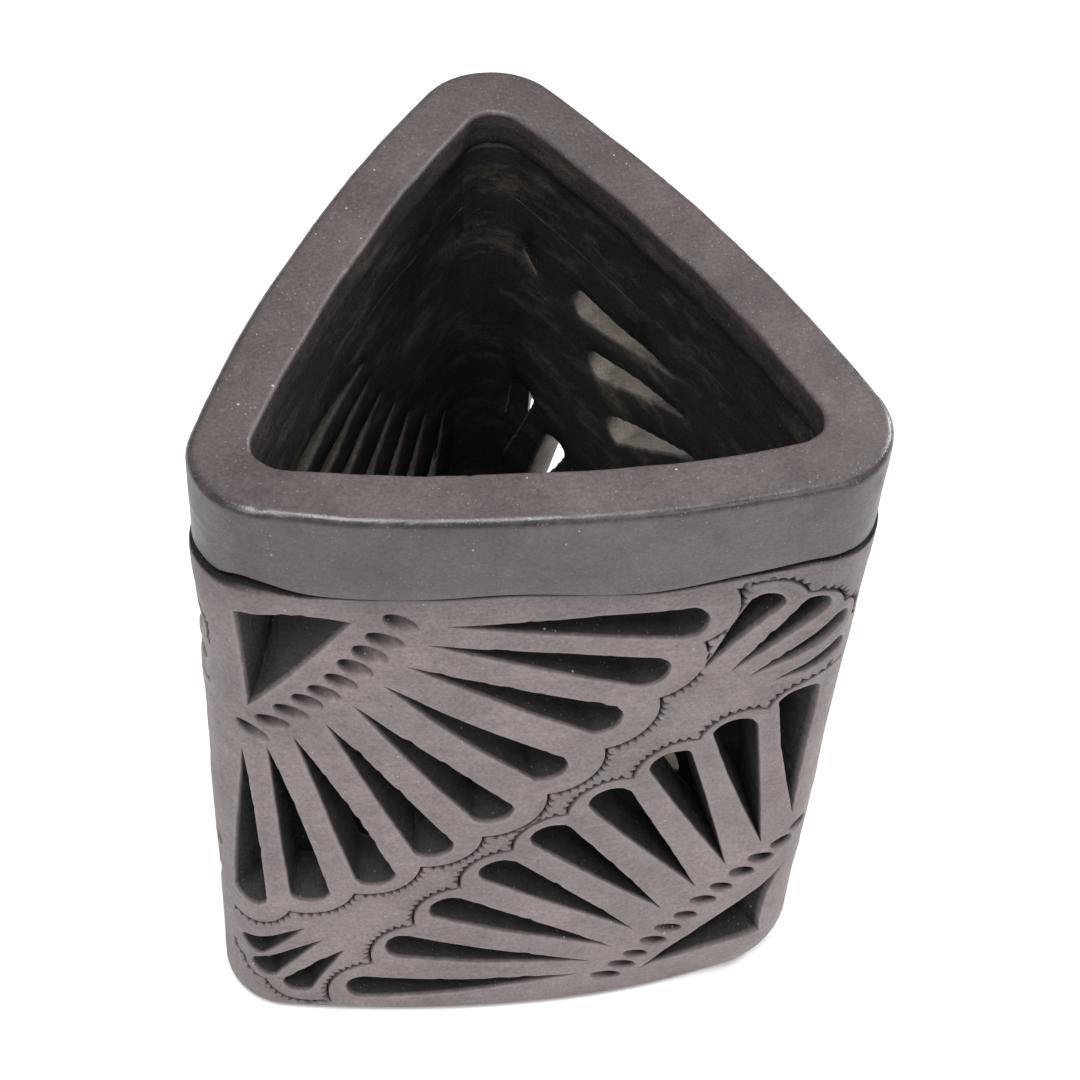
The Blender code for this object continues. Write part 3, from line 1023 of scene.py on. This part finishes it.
class Nodes:
    """Short calls for building a node material."""

    def __init__(self, name):
        self.material = bpy.data.materials.new(name)
        self.material.use_nodes = True
        self.tree = self.material.node_tree
        self.shader = self.tree.nodes["Principled BSDF"]
        self.place = self.new("ShaderNodeTexCoord").outputs["Object"]

    def new(self, kind, inputs=(), **settings):
        node = self.tree.nodes.new(kind)
        for key, value in settings.items():
            setattr(node, key, value)
        for key, value in dict(inputs).items():
            self.put(node.inputs[key], value)
        return node

    def put(self, socket, value):
        if isinstance(value, bpy.types.NodeSocket):
            self.tree.links.new(value, socket)
        else:
            socket.default_value = value

    def moved(self, location, scale=(1.0, 1.0, 1.0)):
        """The place on the object, shifted so that no two patterns agree."""
        inputs = {"Vector": self.place, "Location": location, "Scale": scale}
        return self.new("ShaderNodeMapping", inputs).outputs["Vector"]

    def noise(self, size, detail=3.0, rough=0.55, stretch=(1.0, 1.0, 1.0), seed=0.0):
        """Noise with swells of this size in millimetres; stretch squeezes it along the axes."""
        place = self.moved((seed * 0.37, seed * 0.11, seed * 0.23), stretch)
        inputs = {"Vector": place, "Scale": 1 / (size * MM), "Detail": detail, "Roughness": rough}
        return self.new("ShaderNodeTexNoise", inputs).outputs["Fac"]

    def specks(self, spacing, radius, share, seed):
        """Round specks in this share of Voronoi cells: 1 in a speck, 0 outside."""
        inputs = {"Vector": self.moved((seed, seed * 0.7, seed * 0.3)), "Scale": 1 / (spacing * MM)}
        cells = self.new("ShaderNodeTexVoronoi", inputs)
        split = self.new("ShaderNodeSeparateColor", {"Color": cells.outputs["Color"]})
        chosen = self.math("LESS_THAN", split.outputs["Red"], share)
        part = radius / spacing
        size = self.math("MULTIPLY_ADD", split.outputs["Green"], 0.8 * part, 0.5 * part)
        return self.times(chosen, self.math("LESS_THAN", cells.outputs["Distance"], size))

    def math(self, operation, first, second=0.0, third=0.0):
        node = self.new("ShaderNodeMath", enumerate((first, second, third)), operation=operation)
        return node.outputs["Value"]

    def times(self, first, second):
        return self.math("MULTIPLY", first, second)

    def plus(self, first, second):
        return self.math("ADD", first, second)

    def minus(self, first, second):
        return self.math("SUBTRACT", first, second)

    def scaled(self, value, by, add):
        return self.math("MULTIPLY_ADD", value, by, add)

    def remap(self, value, low, high, to_low, to_high):
        inputs = {"Value": value, "From Min": low, "From Max": high, "To Min": to_low, "To Max": to_high}
        return self.new("ShaderNodeMapRange", inputs).outputs["Result"]

    def mix(self, factor, first, second):
        node = self.new("ShaderNodeMix", {"Factor": factor}, data_type="RGBA")
        for name, value in (("A", first), ("B", second)):
            socket = next(s for s in node.inputs if s.name == name and s.type == "RGBA")
            self.put(socket, value if isinstance(value, bpy.types.NodeSocket) else (*value, 1.0))
        return next(s for s in node.outputs if s.type == "RGBA")


def clay(name, color, painted_light_cut_color, rubbed_and_painted_color, roughness, polish):
    """Smoke-fired clay: clouds, mica specks, pits, rubbing streaks, raw cut faces and a sooty inside, with
    painted light and shade.
    """
    n = Nodes(name)
    kind = "ShaderNodeAttribute"
    shades = [n.new(kind, attribute_name=shade).outputs["Fac"] for shade in Sheet.SHADES]
    groove, cut, inner, wear = shades
    height = n.new("ShaderNodeSeparateXYZ", {"Vector": n.place}).outputs["Z"]
    streaks = n.noise(3.0, 3.0, 0.6, stretch=(0.25, 0.25, 3.2), seed=3)
    tone = n.times(
        n.remap(n.noise(16.0, 4.0, 0.6), 0.3, 0.7, 0.82, 1.2),
        n.remap(n.noise(2.2, 5.0, 0.65, seed=1), 0.25, 0.75, 0.84, 1.16),
    )
    tone = n.times(tone, n.remap(n.noise(0.5, 4.0, 0.85, seed=2), 0.32, 0.68, 0.64, 1.36))
    tone = n.times(tone, n.remap(streaks, 0.25, 0.75, 0.86, 1.12))
    # Painted shade under the band: the colour darkens from 84 mm to 95 mm high, and stays darker above.
    tone = n.times(tone, n.remap(height, 84 * MM, 95 * MM, 1.0, 0.76))

    # Painted shade deep inside: the lining is a quarter as bright at 45 mm and below, rising to full at 100
    # mm, and less dust shows lower down.
    painted_light_by_height = n.remap(height, 45 * MM, 100 * MM, 0.0, 1.0)
    dusty = n.noise(5.0, 5.0, 0.7, stretch=(0.5, 0.5, 1.6), seed=10)
    dust = n.times(n.remap(dusty, 0.5, 0.72, 0.0, 0.8), n.scaled(painted_light_by_height, 0.85, 0.15))
    lining = n.mix(painted_light_by_height, [0.25 * c for c in SOOT], SOOT)
    lining = n.mix(dust, lining, DUST)
    # The cut colour is painted light: shaded on the front wall, lit on the back walls.
    raw = n.mix(inner, n.mix(cut, color, painted_light_cut_color), lining)
    tinted = n.new("ShaderNodeVectorMath", {0: raw, "Scale": tone}, operation="SCALE")
    # Painted shade: near black in grooves, dimples, scores and the crease.
    body = n.mix(n.times(groove, 0.93), tinted.outputs["Vector"], (0.006, 0.006, 0.006))
    patches = n.remap(n.noise(17.0, 2.0, 0.5, seed=9), 0.35, 0.5, 0.55, 1.0)
    # Worn edges: lightened on the walls, partly as a painted highlight; near black on the rim as painted
    # shade under its highlight.
    rubbed_and_painted = n.times(wear, n.remap(n.noise(1.4, 3.0, 0.6, seed=4), 0.35, 0.65, 0.3, 0.9))
    body = n.mix(n.times(rubbed_and_painted, patches), body, rubbed_and_painted_color)
    outside = n.minus(1.0, n.times(inner, 0.8))
    # Mica specks lightened in colour, partly as a painted glint; the small glints are painted glints.
    mica_and_painted_glint = n.times(n.specks(1.3, 0.13, 0.12, 1.3), outside)
    glints = n.times(n.specks(0.5, 0.08, 0.3, 2.9), outside)
    pits = n.specks(2.6, 0.16, 0.16, 4.1)
    body = n.mix(n.times(mica_and_painted_glint, 0.6), body, (0.42, 0.4, 0.38))
    body = n.mix(n.times(glints, 0.35), body, (0.3, 0.29, 0.28))
    body = n.mix(n.times(pits, 0.6), body, (0.02, 0.02, 0.02))
    n.put(n.shader.inputs["Base Color"], body)

    rough = n.plus(n.remap(n.noise(7.0, 3.0, 0.6, seed=5), 0.3, 0.7, -0.08, 0.1), roughness)
    rough = n.plus(rough, n.remap(streaks, 0.3, 0.7, -0.05, 0.05))
    rough = n.minus(rough, n.times(n.times(wear, patches), polish))
    rough = n.plus(rough, n.times(inner, 0.22))
    rough = n.minus(rough, n.times(mica_and_painted_glint, 0.3))
    rough = n.math("MINIMUM", n.math("MAXIMUM", rough, 0.16), 0.95)
    n.put(n.shader.inputs["Roughness"], rough)

    matt = n.math("MAXIMUM", n.times(cut, 0.45), n.math("MAXIMUM", n.times(inner, 0.72), groove))
    n.put(n.shader.inputs["Specular IOR Level"], n.scaled(matt, -0.38, 0.41))

    raw_part = n.math("MAXIMUM", cut, n.times(inner, 0.7))
    bumps = n.times(n.noise(0.28, 4.0, 0.7, seed=6), n.scaled(raw_part, 1.4, 0.45))
    bumps = n.plus(bumps, n.times(n.noise(1.1, 5.0, 0.65, seed=7), n.scaled(raw_part, 2.6, 0.5)))
    bumps = n.plus(bumps, n.times(streaks, 0.5))
    bumps = n.minus(bumps, n.times(pits, 0.6))
    bump = n.new("ShaderNodeBump", {"Strength": 0.75, "Distance": 0.11 * MM, "Height": bumps})
    n.put(n.shader.inputs["Normal"], bump.outputs["Normal"])
    return n.material


# Putting the pieces in the scene.


def put_in_scene(name, data):
    made = bpy.data.objects.new(name, data)
    bpy.context.scene.collection.objects.link(made)
    return made


def add_piece(mesh, material, node):
    mesh.materials.append(material)
    mesh.shade_smooth()
    mesh.set_sharp_from_angle(angle=SHARP_ANGLE)
    piece = put_in_scene(mesh.name, mesh)
    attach(piece, "root")
    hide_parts(node)


def read(items, name, width, kind=np.float32):
    """One value of all a mesh's vertices, loops or faces, in rows of this width."""
    values = np.zeros(len(items) * width, kind)
    items.foreach_get(name, values)
    return values.reshape(-1, width)


def join_mitres(mesh, face):
    """Give both sides of each mitre the same normals, so that the fused joint doesn't show."""
    corners = np.zeros((len(mesh.loops), 3), np.float32)
    loop_vertices = read(mesh.loops, "vertex_index", 1, np.int32)[:, 0]
    places = read(mesh.vertices, "co", 3) / MM
    normals = read(mesh.polygons, "normal", 3)
    loop_faces = np.repeat(np.arange(len(mesh.polygons)), [p.loop_total for p in mesh.polygons])
    for index in (face, face + 1):
        outward = corner(index) / norm(corner(index))
        offset = places[:, :2] - corner(index)
        at_mitre = np.abs(offset @ left_of(outward)) < 0.03
        at_mitre &= offset @ outward > CORNER_RADIUS - WALL / 2
        faces_out = normals[:, :2] @ outward > 0.7
        corners[at_mitre[loop_vertices] & faces_out[loop_faces]] = (*outward, 0.0)
    mesh.normals_split_custom_set(corners.tolist())


WALL_CLAY = (0.150, 0.120, 0.119)
RIM_CLAY = (0.080, 0.0625, 0.0625)
# Cut faces: dark as painted shade on the front wall; lighter brown as painted light on the back walls.
SHADED_CUT = (0.021, 0.0188, 0.0175)
LIT_BROWN_CUT = (0.14, 0.122, 0.100)
SOOT = (0.020, 0.0178, 0.0172)
DUST = (0.085, 0.071, 0.056)
# Worn edge colours: lighter on the walls, partly a painted highlight; near black on the rim, a painted line
# of shade.
RUBBED_WALL_AND_HIGHLIGHT = (0.20, 0.172, 0.168)
RUBBED_RIM_AND_SHADE = (0.020, 0.018, 0.018)

# One clay in lit and shaded copies: the front wall's cut faces painted in shade, the back walls' painted lit.
front_clay_shaded_cuts = clay("front_carved_clay_shaded_cuts", WALL_CLAY, SHADED_CUT, RUBBED_WALL_AND_HIGHLIGHT, 0.58, 0.12)
back_clay_lit_cuts = clay("back_carved_clay_lit_cuts", WALL_CLAY, LIT_BROWN_CUT, RUBBED_WALL_AND_HIGHLIGHT, 0.58, 0.12)
rim_clay = clay("burnished_clay", RIM_CLAY, SHADED_CUT, RUBBED_RIM_AND_SHADE, 0.48, 0.30)
inner_clay = clay("inner_clay", SOOT, SHADED_CUT, SOOT, 0.66, 0.1)

for face in range(3):
    wall_clay = back_clay_lit_cuts if face else front_clay_shaded_cuts
    wall = wall_mesh(face)
    add_piece(wall, wall_clay, f"wall_{FACE_NAMES[face]}")
    join_mitres(wall, face)
add_piece(band_mesh(), rim_clay, "rim_band")
add_piece(base_mesh(), inner_clay, "base_slab")
add_piece(floor_coil_mesh(), inner_clay, "floor_coil")
for index, place in enumerate(("front_left", "front_right", "back")):
    coil = corner_coil_mesh(index, f"corner_coil_{place}_pinched")
    add_piece(coil, inner_clay, f"corner_coil_{place}")


# Floor, light and camera.

FLOOR = (0.88, 0.88, 0.88)
FLOOR_REACH = 3.0  # metres
LIT = (0, 0, 0.05)  # what the lights point at, in metres
WORLD_STRENGTH = 0.36
# The lights: place and size in metres, and power.
LIGHTS = {
    "overhead": ((-0.1, -0.2, 1.0), 0.6, 13.0),
    "left_box": ((-0.6, -0.6, 0.78), 0.2, 2.3),
    "right_box": ((0.5, -0.75, 0.68), 0.2, 1.9),
    "back_box": ((0.8, 0.5, 0.5), 0.4, 9.0),
}


def add_floor():
    mesh = bpy.data.meshes.new("floor")
    corners = ((-1, -1), (1, -1), (1, 1), (-1, 1))
    mesh.from_pydata([(FLOOR_REACH * x, FLOOR_REACH * y, 0) for x, y in corners], [], [(0, 1, 2, 3)])
    n = Nodes("floor_paper")
    n.put(n.shader.inputs["Base Color"], (*FLOOR, 1.0))
    n.put(n.shader.inputs["Roughness"], 0.9)
    mesh.materials.append(n.material)
    floor = put_in_scene("floor", mesh)


def add_light(name, place, size, power):
    light = bpy.data.lights.new(name, "AREA")
    light.shape = "DISK"
    light.size = size
    light.energy = power
    lamp = put_in_scene(name, light)
    lamp.location = place
    lamp.rotation_mode = "QUATERNION"
    lamp.rotation_quaternion = (Vector(LIT) - Vector(place)).to_track_quat("-Z", "Y")


def add_world(strength):
    world = bpy.data.worlds.new("studio")
    world.use_nodes = True
    background = world.node_tree.nodes["Background"]
    background.inputs["Color"].default_value = (1.0, 1.0, 1.0, 1.0)
    background.inputs["Strength"].default_value = strength
    bpy.context.scene.world = world


CAMERA_AZIMUTH = math.radians(-10.40)
CAMERA_ELEVATION = math.radians(50.71)
CAMERA_ROLL = math.radians(4.755)
CAMERA_DISTANCE = 346.5
CAMERA_TARGET = Vector((6.06, 11.58, 55.0))
CAMERA_LENS = 84.41
SENSOR = 36.0


def add_camera():
    turn = (
        Matrix.Rotation(CAMERA_AZIMUTH, 4, "Z")
        @ Matrix.Rotation(math.pi / 2 - CAMERA_ELEVATION, 4, "X")
        @ Matrix.Rotation(CAMERA_ROLL, 4, "Z")
    )
    data = bpy.data.cameras.new("camera")
    data.lens = CAMERA_LENS
    data.sensor_width = SENSOR
    data.clip_start = 0.01
    camera = put_in_scene("camera", data)
    back = Matrix.Translation((0, 0, CAMERA_DISTANCE * MM))
    camera.matrix_world = Matrix.Translation(CAMERA_TARGET * MM) @ turn @ back
    bpy.context.scene.camera = camera


add_floor()
add_world(WORLD_STRENGTH)
for name, (place, size, power) in LIGHTS.items():
    add_light(name, place, size, power)
add_camera()
bpy.context.scene.view_settings.view_transform = "Standard"
